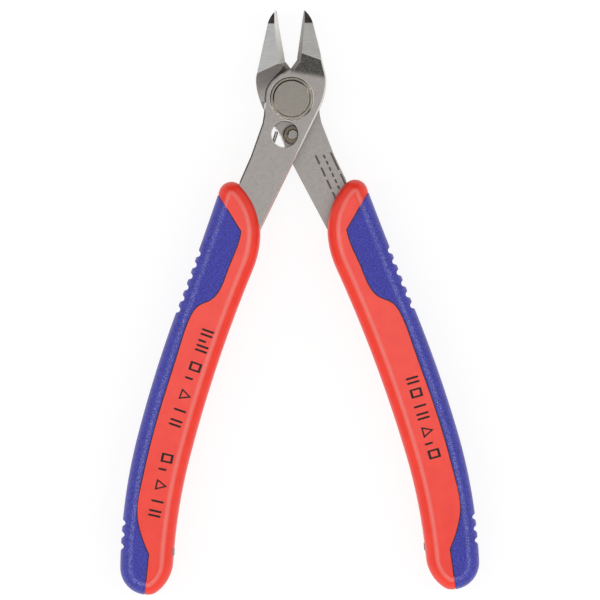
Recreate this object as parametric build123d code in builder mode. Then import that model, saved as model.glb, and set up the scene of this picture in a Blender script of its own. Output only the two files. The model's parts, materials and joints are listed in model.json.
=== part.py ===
"""Flush cutter for electronics work: two lapped stainless levers on a riveted pivot, an opening
spring with a stop pin in a window, and two-component grips with a hard core and a soft zone.

It lies flat: +Z is up, +Y points along the closed jaws, and the origin is at the middle of its box,
on the surface that it rests on. It is drawn open, held against its opening stop by the spring.
Dimensions are in millimetres. Points in the plan are given from the pivot's centre.
"""

import os
from math import atan2, cos, degrees, radians, sin

from build123d import *

os.makedirs("parts", exist_ok=True)

# Overall
LENGTH = 124.35  # over all, with the jaws open; this is the common 125 mm size of tool
GRIP_THICKNESS = 10.4
LEVER_THICKNESS = 3.2  # of each lever at the lap joint
OPEN_HALF_ANGLE = 8.8  # degrees between each cutting edge and the centre line

# Pivot
DISC_RADIUS = 5.6  # the round shoulder of each lever at the lap
LAP_CLEARANCE = 0.15
BOLT_RADIUS = 3.65
BORE_RADIUS = 3.68
HEAD_RADIUS = 4.0  # of the bolt's riveted heads
HEAD_CHAMFER = 0.28
RING_RADIUS = 4.5
RING_HEIGHT = 1.0
COUNTERBORE_RADIUS = 4.6
COUNTERBORE_DEPTH = 1.1
BOLT_RECESS = 0.06  # of its heads below the levers' faces

# Opening stop and spring
WINDOW_CENTRE = (-1.6, -7.6)
WINDOW_RADIUS = 2.85
PIN_CENTRE = (0.12, -7.65)
PIN_RADIUS = 1.08
COLLAR_RADIUS = 2.05
COLLAR_HEIGHT = 0.75
COLLAR_DEPTH = 0.9
WIRE_RADIUS = 0.38

# Cutting edges, as distances from the pivot and heights from the lap plane
TIP_REACH = 19.25
THROAT_REACH = 8.25
TIP_EDGE_HEIGHT = -0.25
THROAT_EDGE_HEIGHT = 0.9
RELIEF = 0.05  # width for height, behind each edge
THROAT_BEVEL = (0.85, 1.3)  # width and height
BEVEL_OVERRUN = 0.9  # of the edge bevels past the throat
SMALL_CHAMFER = 0.2
RIM_CHAMFER = 0.18
WINDOW_CHAMFER = 0.1
EDGE_CHAMFER = 0.3
MARK_DEPTH = 0.12
MARK_ANGLE = 24.0  # of the rows of marks, along the tang

# Grips
SOFT_DEPTH = 1.3  # soft zone on the front and back faces
SOFT_WALL = 1.6  # soft zone on the outer side
GRIP_FILLET = 3.0
GROOVE_WIDTH = 0.24
GROOVE_DEPTH = 0.14
NOSE_RADIUS = 2.7
END_RADIUS = 2.7
NOTCH_DEPTH = 0.7
NOTCH_RADIUS = 0.62
NOTCH_PITCH = 2.52
BUTTON_COUNT = 9
BUTTON_PITCH = 4.25
BUTTON_SIZE = (2.3, 4.6)  # along the grip, and across its thickness

TIP_Y = TIP_REACH * cos(radians(OPEN_HALF_ANGLE))
PIVOT_Y = LENGTH / 2 - TIP_Y
LAP_Z = GRIP_THICKNESS / 2
HALF = GRIP_THICKNESS / 2
pivot_axis = Axis((0, PIVOT_Y, LAP_Z), (0, 0, 1))
turn_axis = Axis((0, PIVOT_Y, LAP_Z), (0, 1, 0))


def level(height=0.0):
    """The plan's plane, with its origin on the pivot's axis, at a height from the lap plane."""
    return Plane(origin=(0, PIVOT_Y, LAP_Z + height))


def on_edge(reach, side=1):
    """The point of a cutting edge at a distance from the pivot, on the right (1) or left (-1) jaw."""
    return (side * reach * sin(radians(OPEN_HALF_ANGLE)), reach * cos(radians(OPEN_HALF_ANGLE)))


# ---------------------------------------------------------------- levers
TIP = on_edge(TIP_REACH)
THROAT = on_edge(THROAT_REACH)
THROAT_BOTTOM = (0.0, 6.45)
MITRE = (0.39, 0.92)  # across the corner of the edge and the throat
SHOULDER_ANGLE = 119.75  # where the throat's line meets the disc, tangent to it
HEEL_ANGLE = 180.0
NOSE = (4.86, 15.96)
CHEEK = (7.38, 5.0)
CHEEK_MIDDLE = (7.2, 1.3)
CHEEK_FOOT = (5.8, -2.5)
GRIP_MOUTH = (-9.0, -31.6)  # where the lever's inner edge goes inside the grip
INNER_EDGE = (CHEEK_FOOT[0] - GRIP_MOUTH[0], CHEEK_FOOT[1] - GRIP_MOUTH[1])
CHEEK_EDGE = (NOSE[0] - CHEEK[0], NOSE[1] - CHEEK[1])


def on_disc(angle, radius=DISC_RADIUS):
    return (radius * cos(radians(angle)), radius * sin(radians(angle)))


def jaw_outer_side():
    """The right jaw's outer side, from its foot on the lever's inner edge up to the tip."""
    Spline(CHEEK_FOOT, CHEEK_MIDDLE, CHEEK, tangents=(INNER_EDGE, CHEEK_EDGE))
    Line(CHEEK, NOSE)
    TangentArc(NOSE, TIP, tangent=CHEEK_EDGE)


def lever_blank():
    """The front lever without its holes: right jaw, disc and left tang.

    The back lever is the same, turned over.
    """
    with BuildPart() as blank:
        with BuildSketch(level()):
            with BuildLine():
                Polyline(TIP, THROAT, THROAT_BOTTOM, on_disc(SHOULDER_ANGLE))
                ThreePointArc(on_disc(SHOULDER_ANGLE), on_disc(155), on_disc(HEEL_ANGLE))
                Polyline(on_disc(HEEL_ANGLE), (-5.64, -0.65), (-5.88, -1.5), (-5.93, -3.2), (-6.3, -5.2),
                         (-8.9, -12.2), (-11.3, -17.4))
                Spline((-11.3, -17.4), (-18.9, -41.0), (-27.0, -61.0), (-32.2, -81.0), (-33.9, -93.0))
                Polyline((-33.9, -93.0), (-33.0, -97.2), (-29.5, -97.2), (-26.72, -97.0), (-26.62, -95.6),
                         (-30.0, -93.5))
                Spline((-30.0, -93.5), (-28.0, -81.0), (-22.3, -61.0), (-14.6, -41.0), (-10.5, -32.0))
                Polyline((-10.5, -32.0), GRIP_MOUTH, CHEEK_FOOT)
                jaw_outer_side()
            make_face()
        extrude(amount=LEVER_THICKNESS)
        own_face = blank.faces().sort_by(Axis.Z)[-1]
        visible = own_face.edges().filter_by_position(Axis.Y, PIVOT_Y - 25, PIVOT_Y + 25)
        chamfer(visible, length=EDGE_CHAMFER)
        # The jaw also fills the other lever's level, outside that lever's disc.
        with BuildSketch(level()):
            with BuildLine():
                Polyline(TIP, on_edge(THROAT_REACH + 0.05), (0, 0), CHEEK_FOOT)
                jaw_outer_side()
            make_face()
            Circle(DISC_RADIUS + LAP_CLEARANCE, mode=Mode.SUBTRACT)
            # Room for the other lever's throat, which swings in here as the jaws close
            throat = on_edge(THROAT_REACH + 0.05)
            Polygon(throat, (2.06, 6.26), (4.22, 3.9), (0, 0), align=None, mode=Mode.SUBTRACT)
            with Locations((CHEEK_FOOT[0], -2.65)):
                Rectangle(4, 4, mode=Mode.SUBTRACT)
        extrude(amount=-LEVER_THICKNESS)
        # Ground faces: each face slopes down to the tip, more steeply over the last few millimetres.
        for start, height, slope in (
            ((2.09, 9.7), LEVER_THICKNESS, (0.088, 0.228)),
            ((3.0, 16.1), 1.65, (0.118, 0.45)),
            ((2.22, 7.65), -LEVER_THICKNESS, (0.087, 0.197)),
            ((3.0, 16.1), -1.46, (0.1, 0.36)),
        ):
            own = height > 0
            rise = 1 if own else -1
            face = Plane(
                origin=(start[0], PIVOT_Y + start[1], LAP_Z + height),
                z_dir=(rise * slope[0], rise * slope[1], 1),
            )
            split(bisect_by=face, keep=Keep.BOTTOM if own else Keep.TOP)
    return blank.part


def edge_bevels(side, bevel):
    """What is ground off a jaw at its cutting edge: a bevel in front, and a slight relief behind."""
    start = Vector(*on_edge(TIP_REACH + 1, side), TIP_EDGE_HEIGHT)
    slope = (THROAT_EDGE_HEIGHT - TIP_EDGE_HEIGHT) / (TIP_REACH - THROAT_REACH)
    start += Vector(0, PIVOT_Y, LAP_Z - slope)
    inward = Vector(side * cos(radians(OPEN_HALF_ANGLE)), -sin(radians(OPEN_HALF_ANGLE)), 0)
    along = Vector(*[-c for c in on_edge(1, side)], slope)
    section = Plane(origin=start, x_dir=inward, z_dir=along)
    height = 6.0
    run = TIP_REACH + 1 - THROAT_REACH
    with BuildPart() as cutters:
        with BuildSketch(section):
            Polygon((0, 0), (RELIEF * height, -side * height), (-1, -side * height), (-1, 0), align=None)
        extrude(amount=run)
        with BuildSketch(section):
            Polygon((0, 0), (bevel * height, side * height), (-1, side * height), (-1, 0), align=None)
        extrude(amount=run + BEVEL_OVERRUN)
        if side > 0:
            # It meets the throat's bevel in a mitre.
            at = Vector(THROAT[0], THROAT[1] + PIVOT_Y, LAP_Z)
            split(bisect_by=Plane(origin=at, z_dir=MITRE), keep=Keep.TOP)
    return cutters.part


def throat_bevels():
    """What is ground off both corners of the front lever's throat, at its outer face and at the lap."""
    along = Vector(THROAT_BOTTOM[0] - THROAT[0], THROAT_BOTTOM[1] - THROAT[1]).normalized()
    inward = Vector(-along.Y, along.X)
    start = Vector(THROAT[0], THROAT[1] + PIVOT_Y, LAP_Z) - along * 0.4 - inward * 0.3
    width, height = THROAT_BEVEL
    spare = height * 0.3 / width
    with BuildPart() as cutters:
        with BuildSketch(Plane(origin=start, x_dir=inward, z_dir=along)):
            for base, rise in ((0, height + spare), (LEVER_THICKNESS, -height - spare)):
                Polygon((0, base), (width + 0.3, base), (0, base + rise), align=None)
        extrude(amount=2.9)
    return cutters.part


def pivot_hole(up):
    """The bolt's bore through one lever, with the counterbore for a ring on its outer face."""
    outer = up * LEVER_THICKNESS
    with BuildPart() as hole:
        with BuildSketch(level()):
            Circle(BORE_RADIUS)
        extrude(amount=outer)
        with BuildSketch(level(outer - up * COUNTERBORE_DEPTH)):
            Circle(COUNTERBORE_RADIUS)
        extrude(amount=up * COUNTERBORE_DEPTH)
        with BuildSketch(level(outer)):
            Circle(COUNTERBORE_RADIUS + RIM_CHAMFER)
        extrude(amount=-up * RIM_CHAMFER, taper=45)
    return hole.part


with BuildPart() as lever:
    add(lever_blank())
    add(throat_bevels(), mode=Mode.SUBTRACT)

front_blank = lever.part
back_blank = front_blank.rotate(turn_axis, 180)

with BuildPart() as front_lever:
    add(front_blank)
    add(pivot_hole(1), mode=Mode.SUBTRACT)
    add(edge_bevels(1, 0.35), mode=Mode.SUBTRACT)
    with BuildSketch(level()):
        with Locations(WINDOW_CENTRE):
            Circle(WINDOW_RADIUS)
    extrude(amount=LEVER_THICKNESS, mode=Mode.SUBTRACT)
    rims = front_lever.edges().filter_by(GeomType.CIRCLE)
    rims = rims.filter_by(lambda edge: abs(edge.radius - WINDOW_RADIUS) < 0.01)
    chamfer(rims.sort_by(Axis.Z)[-1], length=WINDOW_CHAMFER)

with BuildPart() as back_lever:
    add(back_blank)
    add(pivot_hole(-1), mode=Mode.SUBTRACT)
    add(edge_bevels(-1, 0.65), mode=Mode.SUBTRACT)
    # The stop pin's hole, with a recess for its collar
    with BuildSketch(level(-LEVER_THICKNESS)):
        with Locations(PIN_CENTRE):
            Circle(PIN_RADIUS)
    extrude(amount=LEVER_THICKNESS, mode=Mode.SUBTRACT)
    with BuildSketch(level(-COLLAR_DEPTH)):
        with Locations(PIN_CENTRE):
            Circle(COLLAR_RADIUS + 0.25)
    extrude(amount=LEVER_THICKNESS, mode=Mode.SUBTRACT)
    # Three rows of engraved marks on the tang's face
    with BuildSketch(level(-MARK_DEPTH)):
        with Locations(Location((8.55, -16.4, 0), (0, 0, MARK_ANGLE))):
            with Locations((-1.6, 0)):
                with GridLocations(0, 2.9, 1, 4):
                    SlotOverall(2.2, 0.42, rotation=90)
            with GridLocations(0, 1.45, 1, 7):
                SlotOverall(0.95, 0.42, rotation=90)
            with Locations((1.6, 0)):
                with GridLocations(0, 5.0, 1, 2):
                    SlotOverall(4.2, 0.42, rotation=90)
    extrude(amount=MARK_DEPTH, mode=Mode.SUBTRACT)
    # A hollow in its left edge, beside the window
    with BuildSketch(level(-LEVER_THICKNESS)):
        with Locations((-13.35, -13.2)):
            Circle(12.0)
    extrude(amount=LEVER_THICKNESS, mode=Mode.SUBTRACT)

# ---------------------------------------------------------------- pivot
with BuildPart() as pivot_bolt:
    with BuildSketch(level(-LEVER_THICKNESS + BOLT_RECESS)):
        Circle(BOLT_RADIUS)
    extrude(amount=2 * (LEVER_THICKNESS - BOLT_RECESS))
    for end in (1, -1):
        with BuildSketch(level(end * (LEVER_THICKNESS - BOLT_RECESS))):
            Circle(HEAD_RADIUS)
        extrude(amount=-end * (COUNTERBORE_DEPTH - BOLT_RECESS - 0.02))
    head_faces = pivot_bolt.faces().filter_by(Axis.Z).sort_by(Axis.Z)
    chamfer(head_faces[0].edges() + head_faces[-1].edges(), length=HEAD_CHAMFER)

with BuildPart() as pivot_ring_front:
    with BuildSketch(level(LEVER_THICKNESS - COUNTERBORE_DEPTH + 0.02)):
        Circle(RING_RADIUS)
        Circle(HEAD_RADIUS + 0.01, mode=Mode.SUBTRACT)
    extrude(amount=RING_HEIGHT)
    chamfer(pivot_ring_front.faces().sort_by(Axis.Z)[-1].outer_wire().edges(), length=0.1)

with BuildPart() as pivot_ring_back:
    add(pivot_ring_front.part.rotate(turn_axis, 180))

# ---------------------------------------------------------------- stop pin and spring
with BuildPart() as stop_pin:
    with BuildSketch(level(-LEVER_THICKNESS + SMALL_CHAMFER)):
        with Locations(PIN_CENTRE):
            Circle(PIN_RADIUS)
    extrude(amount=2 * LEVER_THICKNESS - 3 * SMALL_CHAMFER)
    chamfer(stop_pin.edges(), length=SMALL_CHAMFER)

with BuildPart() as stop_collar:
    with BuildSketch(level(-COLLAR_DEPTH)):
        with Locations(PIN_CENTRE):
            Circle(COLLAR_RADIUS)
            Circle(PIN_RADIUS, mode=Mode.SUBTRACT)
    extrude(amount=COLLAR_HEIGHT)
    chamfer(stop_collar.faces().sort_by(Axis.Z)[-1].outer_wire().edges(), length=0.2)

# The spring is a straight wire held in the left grip. It runs under the front lever's tang, and its
# free end pushes on the hollow in the back lever's edge.
SPRING_TIP = (-3.33, -7.0)
SPRING_END = (-12.0, -27.0)
SPRING_HEIGHT = -0.5

with BuildPart() as opening_spring:
    with BuildLine(level(SPRING_HEIGHT)):
        Spline(SPRING_TIP, (-4.63, -10.55), (-7.3, -16.4), SPRING_END)
    with BuildSketch(Plane(origin=(SPRING_TIP[0], PIVOT_Y + SPRING_TIP[1], LAP_Z + SPRING_HEIGHT),
                           z_dir=(-0.344, -0.939, 0))):
        Circle(WIRE_RADIUS)
    sweep()
    chamfer(opening_spring.faces().filter_by(GeomType.PLANE).sort_by(Axis.Y)[-1].edges(), length=0.1)

# ---------------------------------------------------------------- grips
# The right grip is drawn; the left one is the same, turned over.
GRIP_NOSE = (14.5, -15.8)
MOUTH_FOOT = (7.2, -29.2)
INNER_BEND = (8.85, -36.2)
INNER_WAIST = (23.13, -76.4)
END_LEFT = (27.05, -98.6)
END_POINT = (31.3, -105.2)
END_RIGHT = (38.3, -99.3)
OUTER_WAIST = (34.05, -71.2)
OUTER_BEND = (24.9, -43.8)
SHOULDER = (17.78, -25.0)
END_TANGENT = (0.078, -1)


def outer_side():
    """The grip's outer side, from its end up to its nose."""
    lower = TangentArc(END_RIGHT, OUTER_WAIST, tangent=(-0.03, 1))
    middle = TangentArc(OUTER_WAIST, OUTER_BEND, tangent=lower % 1)
    upper = TangentArc(OUTER_BEND, SHOULDER, tangent=middle % 1)
    TangentArc(SHOULDER, GRIP_NOSE, tangent=upper % 1)


def inner_side():
    """The grip's inner side, from its end up through the hollow mouth to its nose."""
    lower = TangentArc(END_LEFT, INNER_WAIST, tangent=(-END_TANGENT[0], -END_TANGENT[1]))
    middle = TangentArc(INNER_WAIST, INNER_BEND, tangent=lower % 1)
    bend = TangentArc(INNER_BEND, MOUTH_FOOT, tangent=middle % 1)
    TangentArc(MOUTH_FOOT, GRIP_NOSE, tangent=bend % 1)


with BuildSketch() as grip_outline:
    with BuildLine():
        inner_side()
        outer_side()
        TangentArc(END_LEFT, END_POINT, tangent=END_TANGENT)
        TangentArc(END_RIGHT, END_POINT, tangent=(0.035, -1))
    make_face()
    fillet(grip_outline.vertices().sort_by(Axis.Y)[-1], radius=NOSE_RADIUS)
    fillet(grip_outline.vertices().sort_by(Axis.Y)[0], radius=END_RADIUS)

with BuildPart() as grip_body:
    with BuildSketch(level(-HALF)):
        add(grip_outline.sketch)
    extrude(amount=GRIP_THICKNESS)
    fillet(grip_body.faces().sort_by(Axis.Z)[-1].edges(), radius=GRIP_FILLET)
    fillet(grip_body.faces().sort_by(Axis.Z)[0].edges(), radius=GRIP_FILLET)

with BuildLine() as outer_line:
    outer_side()
outer_wire = outer_line.wire()


def outer_place(distance):
    """A point of the grip's outer side, at a distance from its end, and the way it faces there."""
    at = outer_wire.position_at(distance, position_mode=PositionMode.LENGTH)
    along = outer_wire.tangent_at(distance, position_mode=PositionMode.LENGTH)
    return at, (along.Y, -along.X, 0)


# The hard core under the soft zone, with buttons that come through it on the outer side
with BuildPart() as inner_core:
    with BuildSketch(level(SOFT_DEPTH - HALF)):
        add(grip_outline.sketch)
        offset(amount=-SOFT_WALL)
    extrude(amount=GRIP_THICKNESS - 2 * SOFT_DEPTH)
    for button in range(BUTTON_COUNT):
        at, outward = outer_place(14.7 + button * BUTTON_PITCH)
        with BuildSketch(Plane(origin=(at.X, PIVOT_Y + at.Y, LAP_Z), x_dir=(0, 0, 1), z_dir=outward)):
            SlotOverall(BUTTON_SIZE[1], BUTTON_SIZE[0])
        extrude(amount=2.5, both=True)

# Rounded notches near both ends of the outer side
with BuildPart() as notches:
    with BuildSketch(level(-HALF)):
        for start, count in ((4.4, 3), (56.62, 6)):
            for step in range(count):
                at, outward = outer_place(start + step * NOTCH_PITCH)
                turn = degrees(atan2(outward[1], outward[0]))
                with Locations(Location((at.X, at.Y, 0), (0, 0, turn))):
                    Polygon((-0.3, -0.57), (-0.3, 0.57), (0.3, 1.1), (0.3, -1.1), align=None)
                    with Locations((NOTCH_RADIUS - NOTCH_DEPTH, 0)):
                        Circle(NOTCH_RADIUS)
    extrude(amount=GRIP_THICKNESS)

# The line where the soft zone meets the hard core
SEAM_START = (18.6, -15.84)
SEAM_CORNER = (11.26, -28.2)
SEAM_FOOT = (32.06, -96.5)
SEAM_END = (33.36, -107.0)

with BuildLine() as seam_line:
    Line(SEAM_START, SEAM_CORNER)
    Spline(SEAM_CORNER, (11.68, -30.1), (14.13, -36.1), (16.1, -40.7), (17.9, -42.6), (20.6, -43.85),
           (22.45, -46.3), (24.72, -52.4), (28.5, -63.7), (31.3, -73.0), (33.4, -81.4), (34.4, -88.1),
           (33.72, -92.0), SEAM_FOOT)
    Line(SEAM_FOOT, SEAM_END)

# A shallow groove along that line
with BuildPart() as groove:
    with BuildSketch(level(-HALF)):
        trace(seam_line.line, line_width=GROOVE_WIDTH)
    extrude(amount=GRIP_THICKNESS)
    add(grip_body.part, mode=Mode.INTERSECT)
    add(offset(grip_body.part, amount=-GROOVE_DEPTH, mode=Mode.PRIVATE), mode=Mode.SUBTRACT)

with BuildPart() as soft_blank:
    with BuildSketch(level(-HALF)):
        with BuildLine():
            add(seam_line.line)
            Polyline(SEAM_END, (45.0, -107.0), (45.0, -15.84), SEAM_START)
        make_face()
    extrude(amount=GRIP_THICKNESS)
    add(grip_body.part, mode=Mode.INTERSECT)
    add(inner_core.part, mode=Mode.SUBTRACT)

with BuildPart() as right_grip_soft_zone:
    add(soft_blank.part)
    add(notches.part, mode=Mode.SUBTRACT)
    add(groove.part, mode=Mode.SUBTRACT)

with BuildPart() as right_grip_core:
    add(grip_body.part)
    add(soft_blank.part, mode=Mode.SUBTRACT)
    add(groove.part, mode=Mode.SUBTRACT)
    add(back_blank, mode=Mode.SUBTRACT)

with BuildPart() as left_grip_soft_zone:
    add(right_grip_soft_zone.part.rotate(turn_axis, 180))

with BuildPart() as left_grip_core:
    add(right_grip_core.part.rotate(turn_axis, 180))
    add(opening_spring.part, mode=Mode.SUBTRACT)

# ---------------------------------------------------------------- every piece, one file each
front_lever.part.label = "front_lever"
back_lever.part.label = "back_lever"
pivot_bolt.part.label = "pivot_bolt"
pivot_ring_front.part.label = "pivot_ring_front"
pivot_ring_back.part.label = "pivot_ring_back"
stop_pin.part.label = "stop_pin"
stop_collar.part.label = "stop_collar"
opening_spring.part.label = "opening_spring"
left_grip_core.part.label = "left_grip_core"
left_grip_soft_zone.part.label = "left_grip_soft_zone"
right_grip_core.part.label = "right_grip_core"
right_grip_soft_zone.part.label = "right_grip_soft_zone"

export_step(front_lever.part, "parts/front_lever.step")
export_step(back_lever.part, "parts/back_lever.step")
export_step(pivot_bolt.part, "parts/pivot_bolt.step")
export_step(pivot_ring_front.part, "parts/pivot_ring_front.step")
export_step(pivot_ring_back.part, "parts/pivot_ring_back.step")
export_step(stop_pin.part, "parts/stop_pin.step")
export_step(stop_collar.part, "parts/stop_collar.step")
export_step(opening_spring.part, "parts/opening_spring.step")
export_step(left_grip_core.part, "parts/left_grip_core.step")
export_step(left_grip_soft_zone.part, "parts/left_grip_soft_zone.step")
export_step(right_grip_core.part, "parts/right_grip_core.step")
export_step(right_grip_soft_zone.part, "parts/right_grip_soft_zone.step")
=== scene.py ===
"""Looks for the flush cutter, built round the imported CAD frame.

Lengths are in metres, unless a name or a comment says millimetres. The materials work in
millimetres.
"""

import json
import math

import bmesh
import bpy
from mathutils import Matrix, Vector


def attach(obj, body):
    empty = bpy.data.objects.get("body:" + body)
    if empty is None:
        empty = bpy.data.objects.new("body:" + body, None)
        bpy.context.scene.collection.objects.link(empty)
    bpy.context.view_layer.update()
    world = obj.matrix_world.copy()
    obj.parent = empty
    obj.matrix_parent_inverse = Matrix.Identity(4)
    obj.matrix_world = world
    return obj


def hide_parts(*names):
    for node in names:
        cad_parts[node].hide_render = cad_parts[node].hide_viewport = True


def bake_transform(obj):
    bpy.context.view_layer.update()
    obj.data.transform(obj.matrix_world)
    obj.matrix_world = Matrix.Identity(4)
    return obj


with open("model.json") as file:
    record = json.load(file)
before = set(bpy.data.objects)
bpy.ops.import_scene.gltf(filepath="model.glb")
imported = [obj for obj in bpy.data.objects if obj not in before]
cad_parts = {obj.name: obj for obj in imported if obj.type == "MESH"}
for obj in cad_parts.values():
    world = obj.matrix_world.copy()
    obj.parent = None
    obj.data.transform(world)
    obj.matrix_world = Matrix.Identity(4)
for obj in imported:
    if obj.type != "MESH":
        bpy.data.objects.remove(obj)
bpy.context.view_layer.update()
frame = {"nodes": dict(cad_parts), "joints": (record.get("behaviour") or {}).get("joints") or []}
nodes = frame["nodes"]
MM = 0.001
PIVOT = Vector(frame["joints"][0]["pos_m"])  # on the pivot's axis, at the levers' lap plane
PIVOT_MM = tuple(c * 1000 for c in PIVOT)


# ---------------------------------------------------------------- node helpers
class Shader:
    """A material's node tree, with short calls for the nodes used here."""

    def __init__(self, name):
        self.material = bpy.data.materials.new(name)
        self.material.use_nodes = True
        self.tree = self.material.node_tree
        self.bsdf = self.tree.nodes["Principled BSDF"]
        coordinates = self.add("ShaderNodeTexCoord").outputs
        self.normal = coordinates["Normal"]
        self.place_mm = self.vector("SCALE", coordinates["Object"], scale=1000.0)

    def add(self, kind, **values):
        node = self.tree.nodes.new(kind)
        for key, value in values.items():
            setattr(node, key, value)
        return node

    def link(self, value, socket):
        """Feed a socket from another node, or set it to a constant."""
        if isinstance(value, bpy.types.NodeSocket):
            self.tree.links.new(value, socket)
        elif value is not None:
            socket.default_value = value

    def vector(self, operation, a, b=None, scale=None):
        node = self.add("ShaderNodeVectorMath", operation=operation)
        self.link(a, node.inputs[0])
        self.link(b, node.inputs[1])
        if scale is not None:
            node.inputs["Scale"].default_value = scale
        return node.outputs["Value" if operation == "LENGTH" else "Vector"]

    def math(self, operation, a, b=None, c=None):
        node = self.add("ShaderNodeMath", operation=operation)
        for value, socket in zip((a, b, c), node.inputs):
            self.link(value, socket)
        return node.outputs[0]

    def times(self, first, *factors):
        for factor in factors:
            first = self.math("MULTIPLY", first, factor)
        return first

    def times_plus(self, a, b, c):
        return self.math("MULTIPLY_ADD", a, b, c)

    def plus(self, a, b):
        return self.math("ADD", a, b)

    def minus(self, a, b):
        return self.math("SUBTRACT", a, b)

    def size(self, value):
        return self.math("ABSOLUTE", value)

    def ramp(self, value, low, high, to_low=0.0, to_high=1.0):
        """A smooth step as the value goes from low to high."""
        node = self.add("ShaderNodeMapRange", interpolation_type="SMOOTHSTEP")
        for item, socket in zip((value, low, high, to_low, to_high), node.inputs):
            self.link(item, socket)
        return node.outputs[0]

    def band(self, value, low, high, soft):
        """1 between low and high, with soft edges."""
        rise = self.ramp(value, low - soft, low + soft)
        return self.times(rise, self.ramp(value, high + soft, high - soft))

    def split(self, vector):
        node = self.add("ShaderNodeSeparateXYZ")
        self.link(vector, node.inputs[0])
        return node.outputs[:3]

    def noise(self, vector, scale, detail=2.0, roughness=0.5):
        node = self.add("ShaderNodeTexNoise")
        self.link(vector, node.inputs["Vector"])
        self.link(scale, node.inputs["Scale"])
        self.link(detail, node.inputs["Detail"])
        self.link(roughness, node.inputs["Roughness"])
        return node.outputs["Fac"]

    def stretch(self, vector, factors, turn):
        """The place turned about Z and scaled, to draw a noise out along one direction."""
        node = self.add("ShaderNodeMapping")
        self.link(vector, node.inputs["Vector"])
        self.link((0, 0, turn), node.inputs["Rotation"])
        self.link(factors, node.inputs["Scale"])
        return node.outputs[0]

    def mix(self, amount, a, b):
        """Colour a where the amount is 0, and colour b where it is 1."""
        node = self.add("ShaderNodeMix", data_type="RGBA")
        self.link(amount, node.inputs["Factor"])
        colours = [socket for socket in node.inputs if socket.type == "RGBA"]
        self.link(a, colours[0])
        self.link(b, colours[1])
        return next(socket for socket in node.outputs if socket.type == "RGBA")

    def bump(self, height, strength, distance_mm):
        node = self.add("ShaderNodeBump")
        self.link(strength, node.inputs["Strength"])
        self.link(distance_mm * MM, node.inputs["Distance"])
        self.link(height, node.inputs["Height"])
        return node.outputs[0]

    def finish(self, **values):
        for key, value in values.items():
            self.link(value, self.bsdf.inputs[key.replace("_", " ")])
        return self.material


def srgb(*levels):
    """A colour given as 0 to 255 sRGB levels, as linear RGBA."""
    linear = [(c / 255 / 12.92 if c <= 10 else ((c / 255 + 0.055) / 1.055) ** 2.4) for c in levels]
    return (*linear, 1.0)


def paint(node, material):
    obj = nodes[node]
    if obj.material_slots:
        for item in obj.material_slots:
            item.material = material
    else:
        obj.data.materials.append(material)


# ---------------------------------------------------------------- steel
# Places on the front lever, in millimetres from the pivot. The back lever is its copy turned over.
# A lever's own side is its half of the lap, and its far side is the other half, which only its jaw
# reaches. A line is a point on it and the direction across it.
OWN_FACET_LINE = (2.09, 9.7, 0.36, 0.933)  # where the jaw's ground facet starts in the CAD
FAR_FACET_LINE = (2.22, 7.65, 0.404, 0.915)
# The dark band below the facet: a mottled dark patch on the own side, and painted shade on the far
# side.
OWN_DARK_BAND_LINE = (4.2, 4.9, 0.18, 0.98)  # where the dark patch below the facet fades out
FAR_SHADE_LINE = (4.2, 3.6, 0.1, 0.99)
OWN_DARK_BAND_FADE = (-0.6, 0.7)  # from and to, past that line
FAR_SHADE_FADE = (-3.4, 2.6)
BEVEL_START_Y = (5.0, 5.6)
NOSE_START_Y = (16.1, 16.2)
OUTER_FACE_Z = (3.1, 3.15)
WINDOW_CENTRE, WINDOW_RIM = (-1.6, -7.6), (2.88, 2.98)  # its rim as two radii
HOLLOW_CENTRE, HOLLOW_RIM = (13.35, -13.2), (11.98, 12.16)
ENGRAVING_Z = (0.04, 0.2)
ENGRAVING_START_Y = (-8.5, -9.5)

# Colours, as dark and light where there are two.
TANG = srgb(132, 127, 124), srgb(156, 151, 147)
TANG_GLINT = srgb(172, 167, 163)
# Facet colours: the ground steel's own finish, painted lighter as a painted reflection of the light
# the facets face.
OWN_FACET = srgb(208, 205, 201), srgb(224, 221, 217)
FAR_FACET = srgb(218, 218, 217), srgb(231, 230, 229)
# Dark band colours: mottled dark on the own side, and painted shade on the far side, darkest
# furthest below the facet.
OWN_DARK_BAND = srgb(62, 61, 58), srgb(112, 109, 105)
FAR_PAINTED_SHADE = srgb(62, 58, 56), srgb(120, 114, 111)
FAR_SHADE_STREAK = srgb(140, 134, 130)
FACET_EDGE_HIGHLIGHT = srgb(236, 233, 228)
# Chamfered edges: a painted highlight, and painted shade where they face the tang's outer side.
EDGE_HIGHLIGHT = srgb(218, 215, 210)
SHADED_EDGE = srgb(84, 80, 77)
# Bevel colours are lit and shaded copies: painted shade on the own jaw's bevel, and a painted
# highlight on the far jaw's.
OWN_BEVEL_SHADE = srgb(150, 146, 141)
FAR_BEVEL_HIGHLIGHT = srgb(236, 234, 229)
# Painted reflection: the jaws' tip facets painted dark, as the dark surroundings they reflect.
NOSE_DARK_REFLECTION = srgb(66, 62, 60), srgb(98, 93, 90)
ENGRAVING_SHADE = srgb(84, 80, 76)


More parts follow.
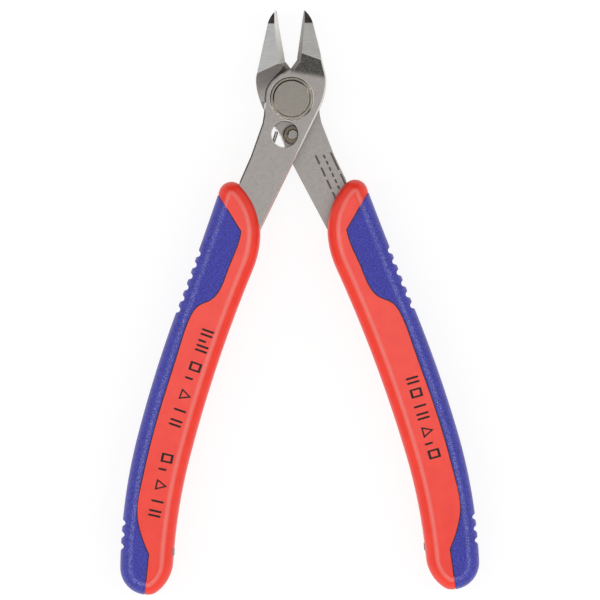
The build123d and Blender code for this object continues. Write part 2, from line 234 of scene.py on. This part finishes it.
def lever_material(name, side):
    """Ground and tumbled steel. side is 1 for the front lever and -1 for the back one."""
    s = Shader(name)
    turn_over = (side, 1, side)
    place = s.vector("MULTIPLY", s.vector("SUBTRACT", s.place_mm, PIVOT_MM), turn_over)
    x, y, z = s.split(place)
    normal_x, _, normal_z = s.split(s.vector("MULTIPLY", s.normal, turn_over))
    tilt = s.size(normal_z)
    own = s.ramp(z, -0.05, 0.05)

    def past(line_x, line_y, across_x, across_y):
        return s.times_plus(s.minus(y, line_y), across_y, s.times(s.minus(x, line_x), across_x))

    def choose(own_value, far_value):
        return s.times_plus(s.minus(own_value, far_value), own, far_value)

    def distance(centre):
        away = s.vector("SUBTRACT", place, (*centre, 0))
        return s.vector("LENGTH", s.vector("MULTIPLY", away, (1, 1, 0)))

    # Textures
    ragged = s.noise(place, 2.2, 4.0, 0.65)
    grain = s.noise(place, 7.0, 3.0, 0.6)
    speck = s.noise(place, 1.1, 5.0, 0.7)
    mottle = s.noise(place, 3.5, 5.0, 0.75)
    ridges = s.noise(s.stretch(place, (0.5, 4.0, 1.0), -0.39), 0.9, 3.0, 0.55)
    ridge_tone = s.ramp(ridges, 0.3, 0.7)
    speck_tone = s.ramp(speck, 0.3, 0.7)

    # Zones
    flat = s.ramp(tilt, 0.80, 0.9)
    facet_line = choose(past(*OWN_FACET_LINE), past(*FAR_FACET_LINE))
    facet = s.ramp(facet_line, -0.04, 0.06)
    # Dark band below the facet. On the far side it is painted shade, darkening away from the facet.
    dark_band_line = choose(past(*OWN_DARK_BAND_LINE), past(*FAR_SHADE_LINE))
    wobble = s.times(s.minus(ragged, 0.5), 1.1)
    fade = [choose(*ends) for ends in zip(OWN_DARK_BAND_FADE, FAR_SHADE_FADE)]
    dark_end = s.ramp(s.plus(dark_band_line, wobble), *fade)
    jaw_side = s.ramp(s.plus(x, s.times(y, 0.1)), 0.2, 0.9)
    dark_band_and_shade = s.times(s.minus(1.0, facet), dark_end, jaw_side, flat)
    inward = s.ramp(normal_x, -0.2, -0.35)  # faces the other jaw
    bevel = s.times(inward, s.ramp(y, *BEVEL_START_Y))
    nose = s.times(s.ramp(y, *NOSE_START_Y), s.minus(1.0, inward))
    # Painted highlight on the sloping chamfers and on the window's or hollow's rim. The same mask
    # lowers roughness as polish.
    chamfer = s.times(s.band(tilt, 0.4, 0.84, 0.05), s.minus(1.0, bevel))
    if side > 0:
        rim = s.band(distance(WINDOW_CENTRE), *WINDOW_RIM, 0.03)
        rim = s.times(rim, s.ramp(z, *OUTER_FACE_Z), 0.6)
    else:
        rim = s.band(distance(HOLLOW_CENTRE), *HOLLOW_RIM, 0.03)
        rim = s.times(rim, s.ramp(tilt, 0.9, 0.95))
    polish_and_highlight = s.math("MAXIMUM", chamfer, rim)
    # Painted highlight: a bright line along the facet's edge.
    facet_edge_highlight = s.times(s.band(facet_line, 0.02, 0.2, 0.03), flat, 0.6)
    shade = s.times(s.ramp(normal_x, -0.3, -0.55), s.ramp(y, -1.5, -3.0))

    # Colour
    tang = s.mix(s.ramp(grain, 0.35, 0.65, 0.0, 0.4), s.mix(speck_tone, *TANG), TANG_GLINT)
    # Ground facets: real grinding ridges, with a painted reflection making them lighter.
    ground_and_sheen = s.mix(own, s.mix(ridge_tone, *FAR_FACET), s.mix(ridge_tone, *OWN_FACET))
    own_dark_band = s.mix(s.ramp(mottle, 0.35, 0.68), *OWN_DARK_BAND)
    far_painted_shade = s.mix(s.ramp(facet_line, -4.0, -0.5), *FAR_PAINTED_SHADE)
    far_painted_shade = s.mix(s.ramp(ridges, 0.3, 0.7, 0.0, 0.3), far_painted_shade, FAR_SHADE_STREAK)
    colour = s.mix(facet, tang, ground_and_sheen)
    colour = s.mix(dark_band_and_shade, colour, s.mix(own, far_painted_shade, own_dark_band))
    colour = s.mix(facet_edge_highlight, colour, FACET_EDGE_HIGHLIGHT)
    colour = s.mix(polish_and_highlight, colour, s.mix(shade, EDGE_HIGHLIGHT, SHADED_EDGE))
    colour = s.mix(bevel, colour, s.mix(own, FAR_BEVEL_HIGHLIGHT, OWN_BEVEL_SHADE))
    colour = s.mix(nose, colour, s.mix(speck_tone, *NOSE_DARK_REFLECTION))
    if side < 0:  # painted shade on the floor of the engraved marks
        marks = s.times(s.band(z, *ENGRAVING_Z, 0.02), s.ramp(y, *ENGRAVING_START_Y))
        colour = s.mix(marks, colour, ENGRAVING_SHADE)

    rough = s.ramp(speck, 0.2, 0.8, 0.40, 0.52)
    rough = s.minus(rough, s.times(s.plus(facet, polish_and_highlight), 0.06))
    rough = s.plus(rough, s.times(dark_band_and_shade, 0.16))
    height = s.times_plus(ridges, s.times(facet, 0.3), grain)
    height = s.times_plus(s.times(ragged, dark_band_and_shade), 2.0, height)
    return s.finish(
        Base_Color=colour,
        Metallic=s.times_plus(bevel, -0.45, 0.85),
        Roughness=rough,
        Normal=s.bump(height, 0.35, 0.03),
    )


def turned_steel(name, dark, light, ring_share, roughness=(0.34, 0.5)):
    """Turned steel: rings of fine tool marks round the pivot's axis, mixed with specks."""
    s = Shader(name)
    place = s.vector("SUBTRACT", s.place_mm, PIVOT_MM)
    x, y, _ = s.split(place)
    radius = s.math("SQRT", s.plus(s.times(x, x), s.times(y, y)))
    ring_noise = s.add("ShaderNodeTexNoise", noise_dimensions="1D")
    s.link(radius, ring_noise.inputs["W"])
    s.link(9.0, ring_noise.inputs["Scale"])
    s.link(3.0, ring_noise.inputs["Detail"])
    rings = ring_noise.outputs["Fac"]
    speck = s.noise(place, 2.4, 5.0, 0.7)
    fine = s.noise(place, 11.0)
    tone = s.times_plus(rings, ring_share, s.times(speck, 1.0 - ring_share))
    colour = s.mix(s.ramp(tone, 0.32, 0.68), srgb(*dark), srgb(*light))

    # Painted light on its sloping edges: a painted highlight, and painted shade on the side towards
    # the jaws.
    normal_x, normal_y, normal_z = s.split(s.normal)
    sloping = s.ramp(s.size(normal_z), 0.9, 0.8)
    shaded_side = s.ramp(s.times_plus(normal_x, -0.5, normal_y), 0.0, 0.45)
    colour = s.mix(sloping, colour, s.mix(shaded_side, srgb(224, 218, 206), srgb(44, 41, 36)))
    height = s.times_plus(rings, ring_share, s.times(fine, 0.7))
    return s.finish(
        Base_Color=colour,
        Metallic=0.85,
        Roughness=s.ramp(speck, 0.3, 0.7, *roughness),
        Normal=s.bump(height, 0.4, 0.02),
    )


def wire_material(name):
    """Drawn wire, with fine lines along it."""
    s = Shader(name)
    drawn = s.noise(s.stretch(s.place_mm, (6.0, 0.6, 6.0), -0.4), 2.0, 3.0)
    return s.finish(
        Base_Color=s.mix(s.ramp(drawn, 0.3, 0.7), srgb(128, 124, 119), srgb(182, 178, 172)),
        Metallic=0.9,
        Roughness=s.ramp(drawn, 0.3, 0.7, 0.25, 0.42),
        Normal=s.bump(drawn, 0.3, 0.02),
    )


# ---------------------------------------------------------------- grips
HALF_GRIP_MM = 5.2
RED = srgb(244, 42, 17), srgb(249, 52, 27)
RED_SKIN = srgb(252, 76, 52)
RED_RIDGE_HIGHLIGHT = srgb(246, 150, 142)
RED_SIDE_SHADE = srgb(222, 40, 34)
RED_GROOVE_SHADE = srgb(52, 10, 22)
BLUE = srgb(34, 34, 132), srgb(72, 74, 204)
BLUE_CLOUD = srgb(48, 44, 150)
BLUE_SPARKLE_HIGHLIGHT = srgb(176, 182, 236)
BLUE_SIDE_SHEEN = srgb(108, 104, 172)
BLUE_GROOVE_SHADE = srgb(20, 12, 40)


def grip_zones(s):
    """Where a grip's face turns into its rounded edge, its sides, and its groove's flat floor.

    The fourth value is the height above or below the grip's middle plane, in millimetres.
    """
    tilt = s.size(s.split(s.normal)[2])
    height = s.size(s.minus(s.split(s.place_mm)[2], PIVOT_MM[2]))
    ridge = s.times(s.ramp(tilt, 0.88, 0.97), s.ramp(tilt, 0.9999, 0.985))
    side = s.ramp(tilt, 0.75, 0.3)
    depth = s.minus(HALF_GRIP_MM, height)
    groove = s.times(s.ramp(depth, 0.03, 0.06), s.ramp(tilt, 0.997, 0.999))
    return ridge, side, groove, height


def red_material(name):
    """Hard red plastic, satin, with a fine skin, and a painted highlight along its rounded edge."""
    s = Shader(name)
    ridge, side, groove, middle_height = grip_zones(s)
    cloud = s.noise(s.place_mm, 0.35, 3.0)
    skin = s.noise(s.place_mm, 5.0, 4.0, 0.65)
    # Painted highlight along the rounded edge, broken up by the skin.
    ridge_highlight = s.times(ridge, s.ramp(skin, 0.3, 0.7, 0.35, 0.6))
    colour = s.mix(s.ramp(cloud, 0.3, 0.7), *RED)
    colour = s.mix(s.ramp(skin, 0.35, 0.7, 0.0, 0.25), colour, RED_SKIN)
    colour = s.mix(ridge_highlight, colour, RED_RIDGE_HIGHLIGHT)
    # Painted shade on the grip's sides.
    colour = s.mix(s.times(side, 0.5), colour, RED_SIDE_SHADE)
    # Painted shade on the groove's floor.
    colour = s.mix(groove, colour, RED_GROOVE_SHADE)
    parting_line = s.ramp(middle_height, 0.05, 0.14, 1.0, 0.0)
    return s.finish(
        Base_Color=colour,
        Roughness=s.ramp(skin, 0.2, 0.8, 0.28, 0.42),
        Normal=s.bump(s.times_plus(parting_line, 2.0, skin), 0.35, 0.04),
    )


def blue_material(name):
    """Soft blue zone with a sandy grain, and painted highlight sparkles along its rounded edge."""
    s = Shader(name)
    ridge, side, groove, _ = grip_zones(s)
    sand = s.noise(s.place_mm, 2.6, 4.0, 0.8)
    fine = s.noise(s.place_mm, 6.0, 2.0, 0.6)
    cloud = s.noise(s.place_mm, 0.45, 3.0)
    # Painted highlight: sparkles on the grain along the rounded edge.
    sparkle_highlight = s.times(ridge, s.ramp(fine, 0.50, 0.66), 0.85)
    colour = s.mix(s.ramp(sand, 0.40, 0.60), *BLUE)
    colour = s.mix(s.ramp(cloud, 0.3, 0.7, 0.0, 0.3), colour, BLUE_CLOUD)
    colour = s.mix(sparkle_highlight, colour, BLUE_SPARKLE_HIGHLIGHT)
    # Painted sheen: the sides lighter and greyer, as a reflection.
    colour = s.mix(s.times(side, 0.5), colour, BLUE_SIDE_SHEEN)
    # Painted shade on the groove's floor.
    colour = s.mix(groove, colour, BLUE_GROOVE_SHADE)
    return s.finish(
        Base_Color=colour,
        Roughness=s.ramp(fine, 0.3, 0.7, 0.30, 0.5),
        Normal=s.bump(s.times_plus(fine, 0.6, sand), 1.0, 0.16),
    )


def ink_material(name):
    """Dark print, slightly worn."""
    s = Shader(name)
    wear = s.noise(s.place_mm, 6.0, 4.0, 0.7)
    return s.finish(
        Base_Color=s.mix(s.ramp(wear, 0.6, 0.85), srgb(18, 6, 6), srgb(60, 22, 20)),
        Roughness=s.ramp(wear, 0.3, 0.7, 0.6, 0.8),
        Normal=s.bump(wear, 0.2, 0.02),
    )


paint("front_lever", lever_material("front_lever_steel", 1))
paint("back_lever", lever_material("back_lever_steel", -1))
paint("pivot_bolt", turned_steel("bolt_steel", (116, 112, 105), (142, 137, 129), 0.2))
ring_steel = turned_steel("ring_steel", (104, 98, 88), (146, 140, 130), 0.35, (0.36, 0.5))
for ring_node in ("pivot_ring_front", "pivot_ring_back"):
    paint(ring_node, ring_steel)
paint("stop_pin", turned_steel("pin_steel", (112, 109, 105), (146, 143, 139), 0.3))
paint("stop_collar", turned_steel("collar_bronze", (96, 87, 74), (126, 117, 102), 0.5))
for hand in ("left", "right"):
    paint(hand + "_grip_core", red_material(hand + "_red"))
    paint(hand + "_grip_soft_zone", blue_material(hand + "_blue"))


# ---------------------------------------------------------------- new pieces
def new_piece(name, bm, material, smooth=False):
    mesh = bpy.data.meshes.new(name)
    bmesh.ops.recalc_face_normals(bm, faces=bm.faces)
    bm.to_mesh(mesh)
    bm.free()
    if smooth:
        mesh.shade_smooth()
    mesh.materials.append(material)
    obj = bpy.data.objects.new(name, mesh)
    bpy.context.collection.objects.link(obj)
    return obj


def from_pivot(x_mm, y_mm, z_mm=0.0):
    """A point in metres, given in millimetres from the pivot's centre at the lap plane."""
    return PIVOT + Vector((x_mm, y_mm, z_mm)) * MM


# The spring's wire, from its held end at the left grip to its free end on the hollow in the back
# lever's edge.
WIRE_MM = (
    (-12.0, -27.0),
    (-9.5, -21.3),
    (-7.3, -16.4),
    (-5.9, -13.3),
    (-4.63, -10.55),
    (-3.95, -8.8),
    (-3.33, -7.0),
)
WIRE_RADIUS_MM = 0.38
WIRE_HEIGHT_MM = -0.5
WIRE_SIDES = 20
WIRE_STEPS = 14  # rings between two points of its line
WIRE_END_RINGS = (0.0, 0.35, 0.7, 1.0)  # as shares of its rounded free end
WIRE_END_REACH = 0.25  # of its radius
WIRE_END_TAPER = 0.32


def wire_line():
    """Points of a smooth (Catmull-Rom) curve through WIRE_MM, and its direction at each."""
    points = [from_pivot(x, y, WIRE_HEIGHT_MM) for x, y in WIRE_MM]
    points = [2 * points[0] - points[1], *points, 2 * points[-1] - points[-2]]
    for k in range(1, len(points) - 2):
        a, b, c, d = points[k - 1 : k + 3]
        linear = c - a
        square = 2 * a - 5 * b + 4 * c - d
        cube = 3 * b - a - 3 * c + d
        last = k == len(points) - 3
        for step in range(WIRE_STEPS + last):
            u = step / WIRE_STEPS
            at = 0.5 * (2 * b + linear * u + square * u**2 + cube * u**3)
            along = 0.5 * (linear + 2 * square * u + 3 * cube * u**2)
            yield at, along.normalized()


def wire_ring(bm, at, along, radius):
    across = along.cross(Vector((0, 0, 1))).normalized()
    up = across.cross(along)
    ring = []
    for k in range(WIRE_SIDES):
        angle = 2 * math.pi * k / WIRE_SIDES
        outward = across * math.cos(angle) + up * math.sin(angle)
        ring.append(bm.verts.new(at + outward * (radius * MM)))
    return ring


def wire_mesh():
    line = list(wire_line())
    profile = [(at, along, WIRE_RADIUS_MM) for at, along in line[:-1]]
    tip, tip_along = line[-1]
    for share in WIRE_END_RINGS:
        reach = WIRE_RADIUS_MM * WIRE_END_REACH * math.sin(share * math.pi / 2)
        radius = WIRE_RADIUS_MM * (1 - WIRE_END_TAPER * share**2)
        profile.append((tip + tip_along * (reach * MM), tip_along, radius))
    bm = bmesh.new()
    rings = [wire_ring(bm, at, along, radius) for at, along, radius in profile]
    for low, high in zip(rings, rings[1:]):
        for k in range(WIRE_SIDES):
            bm.faces.new((low[k], low[k - 1], high[k - 1], high[k]))
    bm.faces.new(rings[0])
    bm.faces.new(list(reversed(rings[-1])))
    return bm


wire = new_piece("spring_wire_bent", wire_mesh(), wire_material("spring_wire"), smooth=True)
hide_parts("opening_spring")
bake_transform(wire)

# Printed marks on the grips' faces: rows of plain bars, boxes and triangles.
PRINT_TOP_MM = 0.02  # above the grips' face
PRINT_SINK_MM = 0.03
STROKE_MM = 0.44
STROKE_END_STEPS = 6
MARK_HALF_HEIGHT_MM = 1.15
SHORT_TOP_MM = 0.2
PAIR_OFFSET_MM = 0.5
BOX_HALF_WIDTH_MM = 0.8
TRIANGLE_HALF_WIDTH_MM = 1.0
OUTLINE_INSET_MM = 0.1  # of a box's or triangle's corners, to leave room for its line
TRIANGLE_BASE_INSET_MM = 0.15
TRIANGLE_CENTRE_MM = -MARK_HALF_HEIGHT_MM / 3 + 0.05
OUTLINE_OUTER, OUTLINE_INNER = 1.22, 0.72  # times the size given by the corners


def stroke_outline(start, end):
    """The outline of a round-ended stroke."""
    a, b = Vector(start), Vector(end)
    base = math.atan2(b.y - a.y, b.x - a.x)
    radius = STROKE_MM / 2
    points = []
    for centre, first in ((b, base - math.pi / 2), (a, base + math.pi / 2)):
        for k in range(STROKE_END_STEPS + 1):
            angle = first + math.pi * k / STROKE_END_STEPS
            x, y = centre.x + radius * math.cos(angle), centre.y + radius * math.sin(angle)
            points.append((x, y))
    return points


def grown(corners, centre, factor):
    centre_x, centre_y = centre
    return [
        (centre_x + (x - centre_x) * factor, centre_y + (y - centre_y) * factor) for x, y in corners
    ]


def add_levels(bm, outline, matrix):
    """An outline's points, in millimetres, at the bottom and the top of the print."""
    for height in (-PRINT_SINK_MM, PRINT_TOP_MM):
        yield [bm.verts.new(matrix @ Vector((x * MM, y * MM, height * MM))) for x, y in outline]


def add_walls(bm, low, high):
    for k in range(len(low)):
        bm.faces.new((low[k - 1], low[k], high[k], high[k - 1]))


def add_bar(bm, at, top, matrix):
    low, high = add_levels(bm, stroke_outline((at, -MARK_HALF_HEIGHT_MM), (at, top)), matrix)
    bm.faces.new(list(reversed(low)))
    bm.faces.new(high)
    add_walls(bm, low, high)


def add_outline(bm, corners, centre, matrix):
    """A closed line through these corners."""
    low_out, high_out = add_levels(bm, grown(corners, centre, OUTLINE_OUTER), matrix)
    low_in, high_in = add_levels(bm, grown(corners, centre, OUTLINE_INNER), matrix)
    add_walls(bm, low_out, high_out)
    add_walls(bm, high_in, low_in)
    add_walls(bm, high_out, high_in)
    add_walls(bm, low_in, low_out)


def add_mark(bm, kind, at, matrix):
    """One mark, at a distance along its row."""
    tall = MARK_HALF_HEIGHT_MM
    if kind == "bar":
        add_bar(bm, at, tall, matrix)
    elif kind == "short":
        add_bar(bm, at, SHORT_TOP_MM, matrix)
    elif kind == "pair":
        for offset in (-PAIR_OFFSET_MM, PAIR_OFFSET_MM):
            add_bar(bm, at + offset, tall, matrix)
    elif kind == "box":
        left, right = at - BOX_HALF_WIDTH_MM, at + BOX_HALF_WIDTH_MM
        low, high = -tall + OUTLINE_INSET_MM, tall - OUTLINE_INSET_MM
        corners = ((left, low), (right, low), (right, high), (left, high))
        add_outline(bm, corners, (at, 0.0), matrix)
    elif kind == "triangle":
        left, right = at - TRIANGLE_HALF_WIDTH_MM, at + TRIANGLE_HALF_WIDTH_MM
        low, high = -tall + TRIANGLE_BASE_INSET_MM, tall - OUTLINE_INSET_MM
        corners = ((left, low), (right, low), (at, high))
        add_outline(bm, corners, (at, TRIANGLE_CENTRE_MM), matrix)


def print_row(name, body, start, end, marks):
    """A row of marks from start towards end, in millimetres from the pivot, riding on a body."""
    along = (Vector(end) - Vector(start)).normalized()
    place = from_pivot(*start, HALF_GRIP_MM)
    matrix = Matrix((
        (along.x, -along.y, 0, place.x),
        (along.y, along.x, 0, place.y),
        (0, 0, 1, place.z),
        (0, 0, 0, 1),
    ))
    bm = bmesh.new()
    for kind, at in marks:
        add_mark(bm, kind, at, matrix)
    piece = new_piece(name, bm, ink_material(name + "_ink"))
    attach(piece, body)


print_row("left_print_upper", "front_half", (-18.45, -48.8), (-26.45, -70.3), (
    ("pair", 1.0), ("short", 2.9), ("pair", 4.5), ("box", 8.6),
    ("short", 11.3), ("triangle", 15.0), ("bar", 18.4), ("pair", 21.2),
))
print_row("left_print_lower", "front_half", (-27.5, -75.0), (-31.0, -89.4), (
    ("box", 1.2), ("short", 3.7), ("triangle", 7.1), ("bar", 10.6), ("pair", 13.2),
))
print_row("right_print", "back_half", (24.5, -59.8), (29.25, -77.1), (
    ("pair", 0.7), ("box", 3.5), ("bar", 6.4), ("pair", 8.6),
    ("triangle", 12.0), ("short", 14.6), ("box", 17.0),
))

# ---------------------------------------------------------------- floor, light and camera
FLOOR_HALF_WIDTH = 1.5
FLOOR_GAP = 0.0002  # below the tool, so that no two faces coincide
FLOOR_GREY = (0.16, 0.16, 0.16, 1.0)
FLOOR_GLOW = 0.86  # its own light, which keeps it near white under soft lamps
WHITE = (1.0, 1.0, 1.0, 1.0)

floor_bm = bmesh.new()
bmesh.ops.create_grid(floor_bm, x_segments=1, y_segments=1, size=FLOOR_HALF_WIDTH)
floor_mesh = bpy.data.meshes.new("floor")
floor_bm.to_mesh(floor_mesh)
floor_bm.free()
floor = bpy.data.objects.new("floor", floor_mesh)
bpy.context.collection.objects.link(floor)
floor.location.z = -FLOOR_GAP
floor_mesh.materials.append(Shader("floor_white").finish(
    Base_Color=FLOOR_GREY,
    Roughness=0.9,
    Emission_Color=WHITE,
    Emission_Strength=FLOOR_GLOW,
))

bpy.context.scene.view_settings.view_transform = "Standard"
ZENITH_LIGHT = 0.37
WALL_LIGHT = 1.0
BEYOND_LIGHT = 0.05  # of the light elsewhere, on the wall beyond the jaws
world = bpy.data.worlds.new("studio")
bpy.context.scene.world = world
world.use_nodes = True
sky = world.node_tree


def sky_ramp(value, low, high, to_low, to_high):
    node = sky.nodes.new("ShaderNodeMapRange")
    node.interpolation_type = "SMOOTHSTEP"
    sky.links.new(value, node.inputs[0])
    for number, socket in zip((low, high, to_low, to_high), node.inputs[1:5]):
        socket.default_value = number
    return node.outputs[0]


# The studio's walls are lighter than its ceiling, apart from the wall beyond the jaws.
direction = sky.nodes.new("ShaderNodeSeparateXYZ")
sky.links.new(sky.nodes.new("ShaderNodeTexCoord").outputs["Generated"], direction.inputs[0])
wall = sky_ramp(direction.outputs["Z"], 0.85, 0.25, ZENITH_LIGHT, WALL_LIGHT)
beyond = sky_ramp(direction.outputs["Y"], 0.6, 0.95, 1.0, BEYOND_LIGHT)
product = sky.nodes.new("ShaderNodeMath")
product.operation = "MULTIPLY"
sky.links.new(wall, product.inputs[0])
sky.links.new(beyond, product.inputs[1])
background = sky.nodes["Background"]
background.inputs["Color"].default_value = WHITE
sky.links.new(product.outputs[0], background.inputs["Strength"])


def softbox(name, place, size, power):
    """A rectangular light aimed at the middle of the tool's base."""
    light = bpy.data.lights.new(name, "AREA")
    light.shape = "RECTANGLE"
    light.size, light.size_y = size
    light.energy = power
    obj = bpy.data.objects.new(name, light)
    bpy.context.collection.objects.link(obj)
    obj.location = place
    aim = Vector((0, 0, 0)) - Vector(place)
    obj.rotation_euler = aim.to_track_quat("-Z", "Y").to_euler()


softbox("left_box", (-0.22, 0.0, 0.60), (0.05, 0.6), 0.7)
softbox("right_box", (0.22, 0.0, 0.60), (0.05, 0.6), 0.7)
softbox("near_box", (0.0, -0.45, 0.50), (0.7, 0.25), 0.6)

IMAGE_WIDTH = 600  # pixels
MM_PER_PIXEL = 0.21386
VIEW_CENTRE_MM = (1.046, -43.007)  # from the pivot
VIEW_TURN_DEG = -1.0
DISTANCE = 0.9  # above the lap plane
SENSOR_MM = 36.0
camera_data = bpy.data.cameras.new("camera")
camera_data.sensor_width = SENSOR_MM
camera_data.lens = SENSOR_MM * DISTANCE / (IMAGE_WIDTH * MM_PER_PIXEL * MM)
camera_data.clip_start = 0.01
camera = bpy.data.objects.new("camera", camera_data)
bpy.context.collection.objects.link(camera)
camera.location = PIVOT + Vector((VIEW_CENTRE_MM[0] * MM, VIEW_CENTRE_MM[1] * MM, DISTANCE))
camera.rotation_euler = (0, 0, math.radians(VIEW_TURN_DEG))
bpy.context.scene.camera = camera
